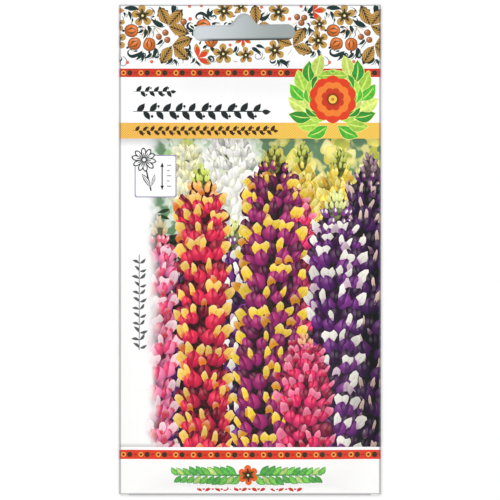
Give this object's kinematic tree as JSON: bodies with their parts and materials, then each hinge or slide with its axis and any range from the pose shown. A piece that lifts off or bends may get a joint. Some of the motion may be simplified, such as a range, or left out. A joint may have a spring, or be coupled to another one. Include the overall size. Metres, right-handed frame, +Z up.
{
  "type": "seed packet",
  "caption": "Flat paper seed packet with a punched hang slot in its header, a lapped and glued back, a turned-up lower end and loose seeds inside.",
  "frame": {"origin": "top of the hang slot's hump, in the plane of the packet's back", "axes": "+Z up along the packet's length as it hangs, +Y out of its flat back, so the printed front faces -Y, and +X to the right seen from the front"},
  "size_m": [0.08, 0.0043, 0.15],
  "materials": {
    "coated_paper": "printed coated paper, half gloss, white at the cut and folded edges",
    "seed_coat": "smooth mottled dark brown seed coat with a pale scar"
  },
  "bodies": {
    "root": {"packet_sheet": "coated_paper", "seed_01": "seed_coat", "seed_02": "seed_coat", "seed_03": "seed_coat", "seed_04": "seed_coat", "seed_05": "seed_coat", "seed_06": "seed_coat", "seed_07": "seed_coat", "seed_08": "seed_coat", "seed_09": "seed_coat", "seed_10": "seed_coat", "seed_11": "seed_coat", "seed_12": "seed_coat", "seed_13": "seed_coat", "seed_14": "seed_coat", "seed_15": "seed_coat", "seed_16": "seed_coat", "seed_17": "seed_coat", "seed_18": "seed_coat", "seed_19": "seed_coat", "seed_20": "seed_coat"}
  },
  "joints": []
}
